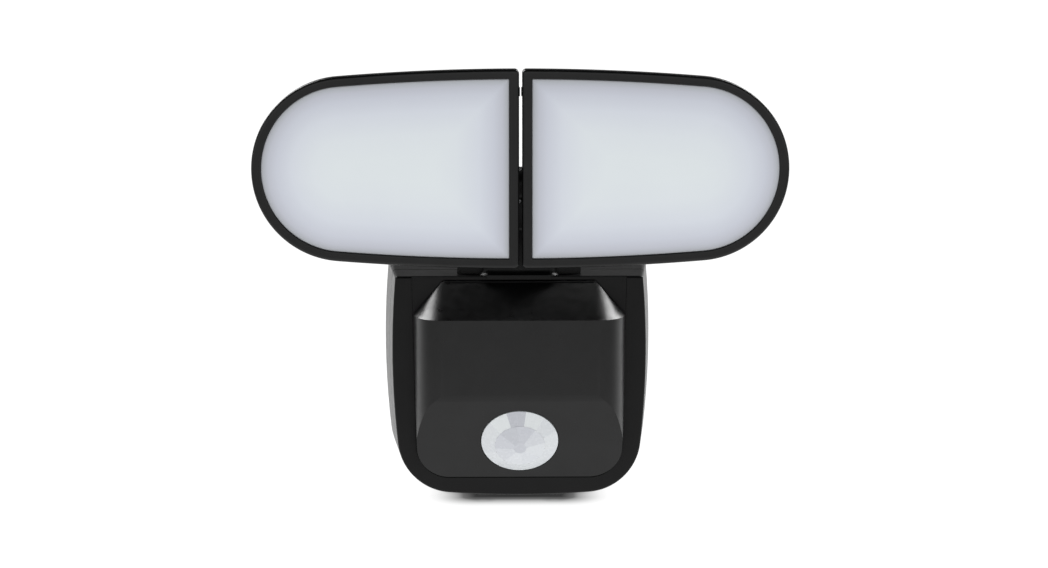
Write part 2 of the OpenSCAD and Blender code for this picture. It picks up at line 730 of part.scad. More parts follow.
// ---- Tilt arm and pan pin, right side ----
module tilt_arm() color(dark)
  difference() {
    union() {
      rod_x(-tilt_y, tilt_z, stub_r, 3.5, knuckle_x + 1);
      rod_x(-tilt_y, tilt_z, 6.3, 3.5, 5.5);
      rod_x(-tilt_y, tilt_z, 8, knuckle_x, knuckle_x + 6);
      translate([knuckle_x + 2, -tilt_y - 5, tilt_z - arm_half])
        cube([pan_x - knuckle_x - 2, 10, 2 * arm_half]);
      translate([pan_x, -tilt_y, tilt_z - arm_half]) cylinder(r = ear_r, h = 2 * arm_half);
    }
    translate([pan_x, -tilt_y, tilt_z - 20]) cylinder(r = pan_pin_r + run_gap, h = 40);
    rod_x(-tilt_y, tilt_z, 2.2, 0, pan_x - 6);
  }

module tilt_washer() color(steel)
  difference() {
    rod_x(-tilt_y, tilt_z, 7.5, knuckle_x - 0.4, knuckle_x);
    rod_x(-tilt_y, tilt_z, stub_r + slack, 0, 20);
  }

module pan_pin() color(steel)
  translate([pan_x, -tilt_y, 0]) {
    translate([0, 0, tilt_z - hinge_half - 1]) cylinder(r = pan_pin_r, h = 2 * hinge_half + 1);
    translate([0, 0, tilt_z + hinge_half]) cylinder(r = 4, h = 1.8);
  }

module pan_washers() color(steel)
  for (s = [-1, 1]) translate([pan_x, -tilt_y, tilt_z + s * (arm_half + ear_gap - 0.25)])
    difference() {
      cylinder(r = 5, h = 0.5, center = true);
      cylinder(r = pan_pin_r + slack, h = 2, center = true);
    }

// ---- Lamp head, right side ----
module at_head_screws()
  for (p = head_screw_at, s = [-1, 1]) translate([p[0], 0, head_z + s * p[1]]) children();

// The back shell's outer form, as [depth, inset]
back_layers = [[bezel_back - thin, 0.3], [bezel_back - 4, 1.2], [bezel_back - 8, 5],
               [head_back + 1.2, 10], [head_back, 15]];

module back_shell() color(black)
  difference() {
    union() {
      difference() {
        head_form(back_layers);
        head_form([[bezel_back, 2.6], [bezel_back - 4, 3.4], [bezel_back - 7.2, 7.4],
                   [head_back + 3, 12], [head_back + 2, 17]]);
      }
      intersection() {
        head_form(back_layers);
        at_head_screws() rod_y(0, 0, 3.6, head_back, bezel_back);
      }
      for (s = [-1, 1]) translate([0, 0, tilt_z + s * (arm_half + ear_gap + ear_t / 2)]) ear();
    }
    at_head_screws() rod_y(0, 0, 1.6, 80, 100);
    at_head_screws() rod_y(0, 0, 2.7, 70, bezel_back - 3.5);
    ring(head_outline(0.9), head_outline(2.1), bezel_back - 0.6, bezel_back + 1);
    translate([pan_x, -tilt_y, 60]) cylinder(r = pan_pin_r, h = 60);
    rod_y(pan_x, tilt_z, 2, 78, head_back + 4);
  }

module ear()
  translate([pan_x, -tilt_y, -ear_t / 2]) {
    cylinder(r = ear_r, h = ear_t);
    translate([-ear_r, -(head_back - tilt_y) - 1, 0]) cube([2 * ear_r, head_back - tilt_y + 1, ear_t]);
  }

bumper_z = head_z + 34.75;  // height of the bumpers that keep the heads' inner edges apart
module bezel() color(black) {
  difference() {
    head_form([[head_front - thin, 1], [head_front - 0.4, 0.4], [head_front - 1.1, 0], [bezel_back, 0]]);
    along_y(bezel_back - 1, head_front + 1) polygon(head_outline(head_rim));
    along_y(bezel_back - 1, head_front - 2.4) polygon(head_outline(2.2));
  }
  difference() {
    at_head_screws() rod_y(0, 0, 3.3, bezel_back, bezel_back + 3.8);
    at_head_screws() rod_y(0, 0, 1.3, 80, bezel_back + 3);
  }
  // bumper between the two heads
  translate([0.3, -head_front + 3, bumper_z - 2]) cube([1.2, 4, 4]);
}

module diffuser() color(white) {
  along_y(head_front - 2.5, head_front - 0.6) polygon(head_outline(head_rim + 0.1));
  along_y(head_front - 4, head_front - 2.45) polygon(head_outline(2.4));
}

module head_gasket() color(rubber)
  ring(head_outline(0.95), head_outline(2.05), bezel_back - 0.6, bezel_back);

module led_board() color("#dfe3e4")
  along_y(head_back + 6.5, head_back + 8) difference() {
    polygon(head_outline(8.4));
    for (p = head_screw_at, s = [-1, 1]) translate([p[0], head_z + s * p[1]]) circle(4);
  }

module leds() color("#f2d77a")
  for (i = [0 : led_cols - 1], k = [0 : led_rows - 1]) {
    x = 16 + i * head_end_x / (led_cols - 1);
    z = head_z + (k - (led_rows - 1) / 2) * 13;
    translate([x, -head_back - 8.45, z]) cube([3.5, 0.9, 2.8], center = true);
  }

module head_screws() color(steel)
  at_head_screws()
    screw(0, 0, bezel_back - 3.5, bezel_back + 2.6, r = 1.25, head_r = 2.5, head_t = 1.6);

module left() mirror([1, 0, 0]) children();

wall_bracket();
rear_shell();
front_shell();
shell_gasket();
shell_screws();
battery_cover();
cover_gasket();
cover_screws();
battery_cradle();
battery_cell(1);  // battery_cell_1
battery_cell(2);  // battery_cell_2
battery_cell(3);  // battery_cell_3
battery_cell(4);  // battery_cell_4
battery_springs();
battery_contacts();
main_board();
board_components();
board_screws();
sensor_housing();
housing_screws();
pir_lens();
lens_gasket();
lens_retainer();
sensor_board();
pir_element();
daylight_sensor();
control_board();
dial_potentiometers();
time_dial();
range_dial();
mode_button();
button_spring();
button_switch();
neck();
neck_gasket();
neck_screws();
neck_cap();
cap_screws();
left() tilt_arm();  // left_tilt_arm
left() tilt_washer();  // left_tilt_washer
left() pan_pin();  // left_pan_pin
left() pan_washers();  // left_pan_washers
left() back_shell();  // left_back_shell
left() bezel();  // left_bezel
left() diffuser();  // left_diffuser
left() head_gasket();  // left_head_gasket
left() led_board();  // left_led_board
left() leds();  // left_leds
left() head_screws();  // left_head_screws
tilt_arm();  // right_tilt_arm
tilt_washer();  // right_tilt_washer
pan_pin();  // right_pan_pin
pan_washers();  // right_pan_washers
back_shell();  // right_back_shell
bezel();  // right_bezel
diffuser();  // right_diffuser
head_gasket();  // right_head_gasket
led_board();  // right_led_board
leds();  // right_leds
head_screws();  // right_head_screws
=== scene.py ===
import json
import math

import bmesh
import bpy
from mathutils import Matrix, Vector

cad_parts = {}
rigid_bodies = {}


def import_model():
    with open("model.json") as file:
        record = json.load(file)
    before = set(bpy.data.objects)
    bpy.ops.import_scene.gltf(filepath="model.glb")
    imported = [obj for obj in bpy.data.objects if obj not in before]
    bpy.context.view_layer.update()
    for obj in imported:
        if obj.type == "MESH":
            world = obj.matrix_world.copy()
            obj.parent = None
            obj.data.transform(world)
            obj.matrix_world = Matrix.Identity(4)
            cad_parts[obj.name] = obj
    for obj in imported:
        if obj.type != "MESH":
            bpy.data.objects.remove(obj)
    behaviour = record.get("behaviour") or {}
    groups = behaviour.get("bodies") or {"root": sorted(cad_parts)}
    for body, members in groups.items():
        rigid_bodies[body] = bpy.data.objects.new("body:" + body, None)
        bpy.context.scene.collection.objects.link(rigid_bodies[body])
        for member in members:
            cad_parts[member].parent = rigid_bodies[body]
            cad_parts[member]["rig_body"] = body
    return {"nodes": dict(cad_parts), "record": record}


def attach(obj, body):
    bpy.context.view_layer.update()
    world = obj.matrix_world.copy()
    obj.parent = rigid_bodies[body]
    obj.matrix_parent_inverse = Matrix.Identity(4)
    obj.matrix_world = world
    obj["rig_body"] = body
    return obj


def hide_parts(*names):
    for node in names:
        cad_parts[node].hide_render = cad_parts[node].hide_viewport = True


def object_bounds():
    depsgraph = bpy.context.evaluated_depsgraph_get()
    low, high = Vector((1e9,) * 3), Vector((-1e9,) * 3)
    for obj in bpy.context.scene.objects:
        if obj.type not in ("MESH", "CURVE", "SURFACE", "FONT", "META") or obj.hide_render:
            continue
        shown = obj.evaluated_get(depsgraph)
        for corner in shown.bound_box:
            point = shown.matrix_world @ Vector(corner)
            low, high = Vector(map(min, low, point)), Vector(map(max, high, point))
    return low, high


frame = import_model()
cad_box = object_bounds()

# ---- Driving dimensions, in millimetres, as the CAD part has them ----
MM = 0.001
HEADS_W, HEAD_H, HEAD_Z, HEAD_END_R = 243.0, 90.1, 105.5, 41.8
HEAD_GAP, HEAD_RIM, HEAD_FRONT, BEZEL_D, HEAD_D = 1.4, 4.4, 104.0, 9.0, 21.0
BODY_HALF, BODY_WIDE_Z, BODY_TOP, BODY_BOTTOM = 59.4, 17.0, 52.2, -51.6
BODY_FRONT, BODY_BACK, PART_LINE, SIDE_DRAFT = 64.0, 6.0, 42.0, 4.9
BODY_CORNER_R, BODY_BOW_R, BOTTOM_BOW_R, BODY_TOP_R = 26.0, 400.0, 450.0, 1.2
BODY_EDGE, WALL = 1.2, 2.4
POD_FRONT, POD_HALF, POD_ROOF_HALF, POD_TOP = 90.0, 49.6, 35.5, 50.6
POD_CREASE, POD_KNEE, POD_BOTTOM, POD_LOW_TAPER = 34.8, -1.6, -42.5, 1.8
POD_CORNER_W, POD_CORNER_N, POD_LOW_R, SLANT_FOOT_Y = 15.0, 2.3, 15.0, 66.0
POD_KNEE_R, POD_EDGE, POD_WALL = 9.0, 0.5, 2.0
PLATE_T, PLATE_RIM, PLATE_GAP = 1.2, 0.6, 0.25
LENS_D, LENS_DOME, LENS_Z, LENS_GAP = 36.0, 5.5, -23.5, 0.25
CONTROL_HALF, CONTROL_FRONT, CONTROL_BACK = 28.0, 58.0, 44.0
CONTROL_ROOF, CONTROL_ROOF_T, CONTROL_Y = -50.6, 1.2, 51.0
DIAL_X, DIAL_HOLE_R, BUTTON_HOLE_R = 17.0, 2.6, 4.3
TILT_Y, TILT_Z, PAN_X, EAR_R = 74.0, 96.0, 26.0, 5.5
ARM_HALF, EAR_GAP, EAR_T, PIN_HOLE_R = 5.6, 0.8, 5.2, 2.5
BUMPER_RISE, BUMPER_GAP, BUMPER_OUT = 34.75, 0.3, 1.4
SCREW_INSET, SCREW_WELL_R, SCREW_WELL = 5.2, 2.7, 12.0

HEAD_END_X = HEADS_W / 2 - HEAD_END_R
HEAD_BOW_R = (HEAD_END_X**2 + (HEAD_H / 2) ** 2 - HEAD_END_R**2) / (HEAD_H - 2 * HEAD_END_R)
HEAD_BOW_Z = HEAD_Z + HEAD_H / 2 - HEAD_BOW_R
HEAD_TANGENT = math.degrees(math.atan2(HEAD_Z - HEAD_BOW_Z, HEAD_END_X))
BEZEL_BACK = HEAD_FRONT - BEZEL_D
HEAD_BACK = HEAD_FRONT - HEAD_D
SLANT = math.atan2(POD_FRONT - SLANT_FOOT_Y, POD_KNEE - POD_BOTTOM)
LENS_Y = -POD_FRONT + (POD_KNEE - LENS_Z) * math.tan(SLANT)


# ---- Outlines, as lists of (x, z) or (x, y) in millimetres ----
def arc(cx, cy, r, start, end, n):
    """n + 1 points round a centre, from one angle to another, in degrees."""
    points = []
    for i in range(n + 1):
        a = math.radians(start + (end - start) * i / n)
        points.append((cx + r * math.cos(a), cy + r * math.sin(a)))
    return points


def angle_of(x, y):
    return math.degrees(math.atan2(y, x))


def meet(c1, r1, c2, r2):
    """The point at r1 from c1 and r2 from c2, to the right of the line between them."""
    dx, dy = c2[0] - c1[0], c2[1] - c1[1]
    d = math.hypot(dx, dy)
    a = (r1 * r1 - r2 * r2 + d * d) / (2 * d)
    h = math.sqrt(r1 * r1 - a * a)
    return c1[0] + (a * dx + h * dy) / d, c1[1] + (a * dy - h * dx) / d


def both_sides(right):
    """A closed outline: its right half from top to bottom, then the mirror image of that."""
    return right + [(-x, y) for x, y in reversed(right)]


SIDE_C = (BODY_HALF - BODY_BOW_R, BODY_WIDE_Z)
LOW_C = (0.0, BODY_BOTTOM + BOTTOM_BOW_R)
CORNER_C = meet(SIDE_C, BODY_BOW_R - BODY_CORNER_R, LOW_C, BOTTOM_BOW_R - BODY_CORNER_R)


def body_outline(g, t):
    """The body's outline, grown by g at the sides and bottom and by t at the top."""
    rt = max(BODY_TOP_R + 0.3 * g, 0.8)
    top_z = BODY_TOP + t - rt
    top_x = SIDE_C[0] + math.sqrt((BODY_BOW_R + g - rt) ** 2 - (top_z - BODY_WIDE_Z) ** 2)
    side_a = angle_of(top_x - SIDE_C[0], top_z - BODY_WIDE_Z)
    corner_a = angle_of(CORNER_C[0] - SIDE_C[0], CORNER_C[1] - SIDE_C[1])
    low_a = angle_of(CORNER_C[0] - LOW_C[0], CORNER_C[1] - LOW_C[1])
    return both_sides(
        arc(top_x, top_z, rt, 90, side_a, 8)
        + arc(*SIDE_C, BODY_BOW_R + g, side_a, corner_a, 16)[1:]
        + arc(*CORNER_C, BODY_CORNER_R + g, corner_a, low_a, 26)[1:]
        + arc(*LOW_C, BOTTOM_BOW_R + g, low_a, -89.9, 8)[1:]
    )


def head_outline(inset):
    """The right head's outline, inset all round."""
    x_in = HEAD_GAP / 2 + inset
    rc = max(2.0 - inset, 0.5)
    r = HEAD_BOW_R - inset
    cx = x_in + rc
    cz = HEAD_BOW_Z + math.sqrt((r - rc) ** 2 - cx * cx)
    a = angle_of(cx, cz - HEAD_BOW_Z)
    top = (
        arc(cx, cz, rc, 180, a, 6)
        + arc(0, HEAD_BOW_Z, r, a, HEAD_TANGENT, 14)[1:]
        + arc(HEAD_END_X, HEAD_Z, HEAD_END_R - inset, HEAD_TANGENT, 0, 36)[1:]
    )
    return top + [(x, 2 * HEAD_Z - z) for x, z in reversed(top[:-1])]


def pod_face(grow=0.0, top=POD_CREASE):
    """The sensor housing seen from the front, up to a height."""
    r = POD_LOW_R + grow
    hx = POD_HALF - POD_LOW_TAPER + grow
    return both_sides([(POD_HALF + grow, top)] + arc(hx - r, POD_BOTTOM - grow + r, r, 0, -90, 20))


def pod_plan():
    """The sensor housing seen from above: a flat front between superelliptic corners."""
    depth, e = POD_FRONT - BODY_FRONT, 2 / POD_CORNER_N
    right = []
    for i in range(31):
        a = math.radians(3 * i)
        x = POD_HALF - POD_CORNER_W + POD_CORNER_W * max(math.cos(a), 0.0) ** e
        right.append((x, -BODY_FRONT - depth * math.sin(a) ** e))
    return both_sides(right)


POD_WINDOW = both_sides([(34, 34), (40, 28), (40, -28), (29, -39.5)])


# ---- Mesh helpers ----
def ring_at(outline, depth, side=1):
    """An (x, z) outline as points at a depth in front of the wall."""
    return [Vector((side * x, -depth, z)) * MM for x, z in outline]


def join_rings(bm, rings, closed=False):
    """Quads between rings of equal length; returns the rings' vertices."""
    made = [[bm.verts.new(p) for p in ring] for ring in rings]
    pairs = list(zip(made, made[1:]))
    if closed:
        pairs.append((made[-1], made[0]))
    for low, high in pairs:
        n = len(low)
        for i in range(n):
            bm.faces.new((low[i], low[(i + 1) % n], high[(i + 1) % n], high[i]))
    return made


def join_capped(bm, rings):
    """Quads between rings, with a flat face on the first and the last; returns their vertices."""
    made = join_rings(bm, rings)
    bm.faces.new(made[0])
    bm.faces.new(made[-1])
    return made


def mark_edges(mesh, limit):
    """Smooth shading with a hard edge wherever two faces meet at more than limit degrees."""
    bm = bmesh.new()
    bm.from_mesh(mesh)
    for f in bm.faces:
        f.smooth = True
    for e in bm.edges:
        e.smooth = len(e.link_faces) == 2 and e.calc_face_angle(0) < math.radians(limit)
    bm.to_mesh(mesh)
    bm.free()


def apply_modifiers(obj):
    bpy.context.view_layer.update()
    shape = bpy.data.meshes.new_from_object(obj.evaluated_get(bpy.context.evaluated_depsgraph_get()))
    old = obj.data
    obj.modifiers.clear()
    obj.data = shape
    shape.name = obj.name
    bpy.data.meshes.remove(old)


def apply_boolean(obj, other, operation):
    """Combines a second solid with the object's and removes it."""
    mod = obj.modifiers.new("boolean", "BOOLEAN")
    mod.operation = operation
    mod.solver = "EXACT"
    mod.object = other
    apply_modifiers(obj)
    bpy.data.objects.remove(other)


def cut(obj, tool):
    apply_boolean(obj, tool, "DIFFERENCE")


def to_object(bm, name, recalc=True):
    if recalc:
        bmesh.ops.recalc_face_normals(bm, faces=bm.faces[:])
    mesh = bpy.data.meshes.new(name)
    bm.to_mesh(mesh)
    bm.free()
    obj = bpy.data.objects.new(name, mesh)
    bpy.context.scene.collection.objects.link(obj)
    return obj


def bevel(obj, width, segments=3, angle=25):
    """Rounds the edges sharper than angle, by width in millimetres."""
    mod = obj.modifiers.new("bevel", "BEVEL")
    mod.width = width * MM
    mod.segments = segments
    mod.limit_method = "ANGLE"
    mod.angle_limit = math.radians(angle)
    mod.miter_outer = "MITER_ARC"
    apply_modifiers(obj)


def settle(obj, material, body, node=None, limit=35):
    """Shades a finished piece, gives it its material and sets it on its body."""
    mark_edges(obj.data, limit)
    mod = obj.modifiers.new("normals", "WEIGHTED_NORMAL")
    mod.keep_sharp = True
    mod.weight = 60
    apply_modifiers(obj)
    obj.data.materials.clear()
    obj.data.materials.append(MATERIALS[material])
    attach(obj, body)
    if node:
        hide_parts(node)


def solid(rings, name="tool", place=None):
    """An object with a skin over its rings, moved by a matrix."""
    bm = bmesh.new()
    join_capped(bm, rings)
    if place:
        bm.transform(place)
    return to_object(bm, name)


def prism(plan, low, high, name="tool", place=None):
    """An (x, y) outline as a solid between two heights."""
    return solid([[Vector((x, y, z)) * MM for x, y in plan] for z in (low, high)], name, place)


def box(low, high, name="tool"):
    """A block between two corners."""
    plan = [(low[0], low[1]), (high[0], low[1]), (high[0], high[1]), (low[0], high[1])]
    return prism(plan, low[2], high[2], name)


def plate_solid(outline, near, far, name="tool"):
    """A flat (x, z) outline as a solid between two depths."""
    return solid([ring_at(outline, near), ring_at(outline, far)], name)


def circle(radius, segments):
    return arc(0, 0, radius, 0, 360 - 360 / segments, segments - 1)


def cylinder(radius, length, place, segments=48):
    """A cylinder along its own Z from the origin."""
    return prism(circle(radius, segments), 0.0, length, place=place)


def moved(x, y, z):
    """The matrix of a move in millimetres."""
    return Matrix.Translation(Vector((x, y, z)) * MM)


def refined(node, material, width=0.3, angle=30):
    """A CAD node's shape with its edges rounded, as a new piece that stands for it."""
    source = frame["nodes"][node]
    bm = bmesh.new()
    bm.from_mesh(source.data)
    bmesh.ops.remove_doubles(bm, verts=bm.verts[:], dist=0.002 * MM)
    bmesh.ops.dissolve_limit(
        bm, angle_limit=math.radians(1.0), verts=bm.verts[:], edges=bm.edges[:], use_dissolve_boundaries=False
    )
    obj = to_object(bm, node + "_fine")
    if width:
        bevel(obj, width, 2, angle)
    settle(obj, material, source["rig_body"], node)


# ---- Materials ----
MATERIALS = {}


def new_material(name):
    mat = bpy.data.materials.new(name)
    mat.use_nodes = True
    MATERIALS[name] = mat
    return mat.node_tree, mat.node_tree.nodes["Principled BSDF"]


def preset(node, **values):
    """Sets unlinked inputs of a node or shader; a name's spaces are written as underscores."""
    for key, value in values.items():
        node.inputs[key.replace("_", " ")].default_value = value


def add(tree, kind, **settings):
    """A new node with some of its settings made."""
    node = tree.nodes.new(kind)
    for key, value in settings.items():
        setattr(node, key, value)
    return node


def noise(tree, scale, detail=3.0, rough=0.5):
    """Noise in the object's own space; scale is in features per metre."""
    coords = add(tree, "ShaderNodeTexCoord")
    tex = add(tree, "ShaderNodeTexNoise")
    preset(tex, Scale=scale, Detail=detail, Roughness=rough)
    tree.links.new(coords.outputs["Object"], tex.inputs["Vector"])
    return tex.outputs["Fac"]


def ramp(tree, factor, stops):
    """Colours by a factor; each stop is (position, colour)."""
    node = add(tree, "ShaderNodeValToRGB")
    elements = node.color_ramp.elements
    while len(elements) < len(stops):
        elements.new(0.5)
    for element, (position, color) in zip(elements, stops):
        element.position = position
        element.color = (*color, 1.0)
    tree.links.new(factor, node.inputs["Fac"])
    return node.outputs["Color"]


def bump(tree, shader, layers):
    """Adds noise layers, each (scale, height in millimetres, strength), to the shader's normal."""
    last = None
    for scale, height, strength in layers:
        node = add(tree, "ShaderNodeBump")
        preset(node, Strength=strength, Distance=height * MM)
        tree.links.new(noise(tree, scale), node.inputs["Height"])
        if last:
            tree.links.new(last.outputs["Normal"], node.inputs["Normal"])
        last = node
    tree.links.new(last.outputs["Normal"], shader.inputs["Normal"])


def math_node(tree, operation, first, second=None):
    """A maths node on a socket, with a second socket or a number."""
    node = add(tree, "ShaderNodeMath", operation=operation)
    tree.links.new(first, node.inputs[0])
    if isinstance(second, float):
        node.inputs[1].default_value = second
    elif second:
        tree.links.new(second, node.inputs[1])
    return node.outputs[0]


def blend(tree, kind, first, second, amount=1.0):
    """Two colour sockets in one, by an amount that is a number or a socket."""
    node = add(tree, "ShaderNodeMix", data_type="RGBA", blend_type=kind)
    if isinstance(amount, float):
        node.inputs["Factor"].default_value = amount
    else:
        tree.links.new(amount, node.inputs["Factor"])
    colors = [i for i in node.inputs if i.type == "RGBA"]
    tree.links.new(first, colors[0])
    tree.links.new(second, colors[1])
    return next(o for o in node.outputs if o.type == "RGBA")


def multiply(tree, first, second):
    """The product of two colour sockets."""
    return blend(tree, "MULTIPLY", first, second)


def share(tree, value, low, high):
    """0 to 1 as a value goes from one limit to another."""
    node = add(tree, "ShaderNodeMapRange")
    preset(node, From_Min=low, From_Max=high)
    tree.links.new(value, node.inputs["Value"])
    return node.outputs["Result"]


def fade(tree, value, low, high, stops):
    """A ramp over a value between two limits."""
    return ramp(tree, share(tree, value, low, high), stops)


def grey(v):
    return (v, v, v)


def uneven_gloss(tree, shader, texture, low, high):
    """Roughness that wanders between two values with a noise texture."""
    tree.links.new(ramp(tree, texture, [(0.3, grey(low)), (0.7, grey(high))]), shader.inputs["Roughness"])


def moulded_plastic(name, low, high, rough_low, rough_high, grain=0.02, spec=0.5):
    """Plastic with the fine spark-eroded grain of a mould, faint mottling and uneven gloss."""
    tree, shader = new_material(name)
    tree.links.new(ramp(tree, noise(tree, 90, 4), [(0.35, low), (0.65, high)]), shader.inputs["Base Color"])
    uneven_gloss(tree, shader, noise(tree, 260, 5, 0.6), rough_low, rough_high)
    preset(shader, Specular_IOR_Level=spec)
    bump(tree, shader, [(3200, grain, 0.5), (400, grain * 2, 0.12)])


def metal(name, low, high, rough_low, rough_high):
    """Plated metal with faint mottling and a slightly uneven polish."""
    tree, shader = new_material(name)
    tree.links.new(ramp(tree, noise(tree, 700, 4), [(0.3, low), (0.7, high)]), shader.inputs["Base Color"])
    uneven_gloss(tree, shader, noise(tree, 350, 5, 0.6), rough_low, rough_high)
    preset(shader, Metallic=1.0)
    bump(tree, shader, [(1500, 0.01, 0.3)])


# The opal sheet's colour with painted shade, from its rim, at 0, to where the light box behind it is deepest,
# at 1: the shade greys it towards the rim.
DIFFUSER_SHADED_STOPS = [
    (0.0, (0.42, 0.435, 0.455)),
    (0.03, (0.50, 0.52, 0.56)),
    (0.09, (0.60, 0.62, 0.69)),
    (0.2, (0.68, 0.71, 0.79)),
    (0.4, (0.77, 0.81, 0.88)),
    (0.7, (0.83, 0.88, 0.92)),
    (1.0, (0.85, 0.905, 0.93)),
]


def opal_diffuser():
    """Opal sheet with painted shade: paler where the light box behind it is deep, greyer towards its rim."""
    tree, shader = new_material("diffuser")
    depth = add(tree, "ShaderNodeAttribute", attribute_name="rim_distance")
    color = ramp(tree, depth.outputs["Fac"], DIFFUSER_SHADED_STOPS)
    cloud = ramp(tree, noise(tree, 28, 2), [(0.3, (0.985, 0.985, 0.99)), (0.7, (1.0, 1.0, 1.0))])
    body = multiply(tree, color, cloud)
    tree.links.new(body, shader.inputs["Base Color"])
    # a faint painted glow stands in for light that enters the opal sheet beside a point and leaves it again
    # here
    tree.links.new(body, shader.inputs["Emission Color"])
    preset(shader, Emission_Strength=0.06, Specular_IOR_Level=0.35)
    uneven_gloss(tree, shader, noise(tree, 300, 4), 0.3, 0.42)
    bump(tree, shader, [(1800, 0.004, 0.25)])


def fresnel_lens():
    """Milky polyethylene with painted light: each facet's colour says how brightly it catches the light."""
    tree, shader = new_material("lens")
    facet = add(tree, "ShaderNodeAttribute", attribute_name="facet")
    stops = [(0.0, (0.42, 0.45, 0.45)), (0.5, (0.55, 0.565, 0.61)), (1.0, (0.76, 0.79, 0.8))]
    tree.links.new(ramp(tree, facet.outputs["Fac"], stops), shader.inputs["Base Color"])
    uneven_gloss(tree, shader, noise(tree, 500, 3), 0.2, 0.32)
    preset(shader, Subsurface_Weight=0.25, Subsurface_Radius=grey(0.002))
    bump(tree, shader, [(900, 0.004, 0.2)])


def flat_board(name, low, high, rough):
    """Lacquered board, with faint mottling."""
    tree, shader = new_material(name)
    tree.links.new(ramp(tree, noise(tree, 220, 4), [(0.4, low), (0.6, high)]), shader.inputs["Base Color"])
    preset(shader, Roughness=rough)
    bump(tree, shader, [(900, 0.02, 0.2)])


moulded_plastic("black_plastic", (0.0026, 0.0027, 0.0028), (0.0042, 0.0043, 0.0045), 0.27, 0.36, spec=0.32)
# painted shade: a darker, less glossy copy of the black plastic for the shells, the housing's plate and the
# neck, which lie in the shade of the heads and the housing
moulded_plastic("shaded_shell_plastic", (0.0012, 0.0012, 0.0013), (0.0024, 0.0024, 0.0025), 0.3, 0.38, spec=0.19)
moulded_plastic("dark_plastic", (0.013, 0.0135, 0.0145), (0.02, 0.021, 0.022), 0.38, 0.5)
moulded_plastic("rubber", (0.012, 0.012, 0.012), (0.02, 0.02, 0.02), 0.6, 0.75, 0.03, 0.3)
metal("steel", (0.45, 0.46, 0.48), (0.62, 0.63, 0.65), 0.28, 0.42)
opal_diffuser()
fresnel_lens()
flat_board("board", (0.01, 0.09, 0.04), (0.015, 0.12, 0.055), 0.35)
flat_board("led_board", (0.75, 0.76, 0.77), (0.82, 0.83, 0.84), 0.4)
flat_board("led", (0.8, 0.6, 0.2), (0.9, 0.72, 0.28), 0.3)
metal("cell", (0.14, 0.15, 0.17), (0.2, 0.21, 0.23), 0.3, 0.4)


# ---- Camera ----
def make_camera():
    """Looks slightly down on the light, and a little from its left, as the photograph does."""
    distance, pitch, azimuth = 1.3, math.radians(7.0), math.radians(-1.1)
    target = Vector((0.00192, -0.080, 0.0505))
    back = Vector((
        math.sin(azimuth) * math.cos(pitch),
        -math.cos(azimuth) * math.cos(pitch),
        math.sin(pitch),
    ))
    cam = bpy.data.objects.new("camera", bpy.data.cameras.new("camera"))
    bpy.context.scene.collection.objects.link(cam)
    cam.location = target + back * distance
    cam.rotation_mode = "QUATERNION"
    cam.rotation_quaternion = (-back).to_track_quat("-Z", "Y")
    cam.data.sensor_width = 36.0
    cam.data.lens = 96.76
    cam.data.clip_start = 0.05
    cam.data.clip_end = 60.0
    bpy.context.scene.camera = cam


make_camera()


# ---- Body shells ----
def body_ring(depth, inset=0.0):
    """The body's outline at a depth, which widens towards the wall, inset all round."""
    lean = SIDE_DRAFT * (BODY_FRONT - depth) / (BODY_FRONT - BODY_BACK)
    return ring_at(body_outline(lean - inset, lean * 0.4 - inset), depth)


def fillet_steps(radius, n=6):
    """(inset, set back from the face) round an edge, from the side to the face."""
    steps = []
    for i in range(n + 1):
        a = math.radians(90 * i / n)
        steps.append((radius * (1 - math.cos(a)), radius * (1 - math.sin(a))))
    return steps


def cut_window(obj):
    """The way through the front shell and the housing's plate, for the sensor's board and screws."""
    cut(obj, plate_solid(POD_WINDOW, BODY_FRONT - 4, BODY_FRONT + 1))


def make_front_shell():
    """The open shell with its seat for the sensor housing, and the roof of the control recess."""
    back, lip = PART_LINE + 0.3, 0.25
    rings = [body_ring(BODY_FRONT - WALL, WALL), body_ring(back, WALL), body_ring(back, lip)]
    rings += [body_ring(depth) for depth in (back + lip, 46.0, 50.0, 54.0, 58.0)]
    rings += [body_ring(BODY_FRONT - set_back, inset) for inset, set_back in fillet_steps(BODY_EDGE)]
    obj = solid(rings, "front_shell_fine")
    seat = pod_face(PLATE_RIM + PLATE_GAP, BODY_TOP + 5)
    cut(obj, plate_solid(seat, BODY_FRONT - PLATE_T, BODY_FRONT + 1))
    cut_window(obj)
    near, far = (-CONTROL_HALF, -CONTROL_FRONT), (CONTROL_HALF, -CONTROL_BACK)
    cut(obj, box((*near, -70), (*far, CONTROL_ROOF)))
    settle(obj, "shaded_shell_plastic", "light", "front_shell")
    roof = box((*near, CONTROL_ROOF), (*far, CONTROL_ROOF + CONTROL_ROOF_T), "control_floor")
    for x, r in ((-DIAL_X, DIAL_HOLE_R), (DIAL_X, DIAL_HOLE_R), (0.0, BUTTON_HOLE_R)):
        cut(roof, cylinder(r, 8, moved(x, -CONTROL_Y, -54)))
    settle(roof, "shaded_shell_plastic", "light")


make_front_shell()
refined("rear_shell", "shaded_shell_plastic", 0.0)


# ---- Sensor housing ----
def cut_plane(bm, point, normal):
    """Keeps what lies behind a plane and closes the cut."""
    geom = bm.verts[:] + bm.edges[:] + bm.faces[:]
    result = bmesh.ops.bisect_plane(
        bm, geom=geom, dist=1e-7, plane_co=point, plane_no=normal, clear_outer=True, clear_inner=False
    )
    edges = [e for e in result["geom_cut"] if isinstance(e, bmesh.types.BMEdge)]
    if edges:
        bmesh.ops.contextual_create(bm, geom=edges)


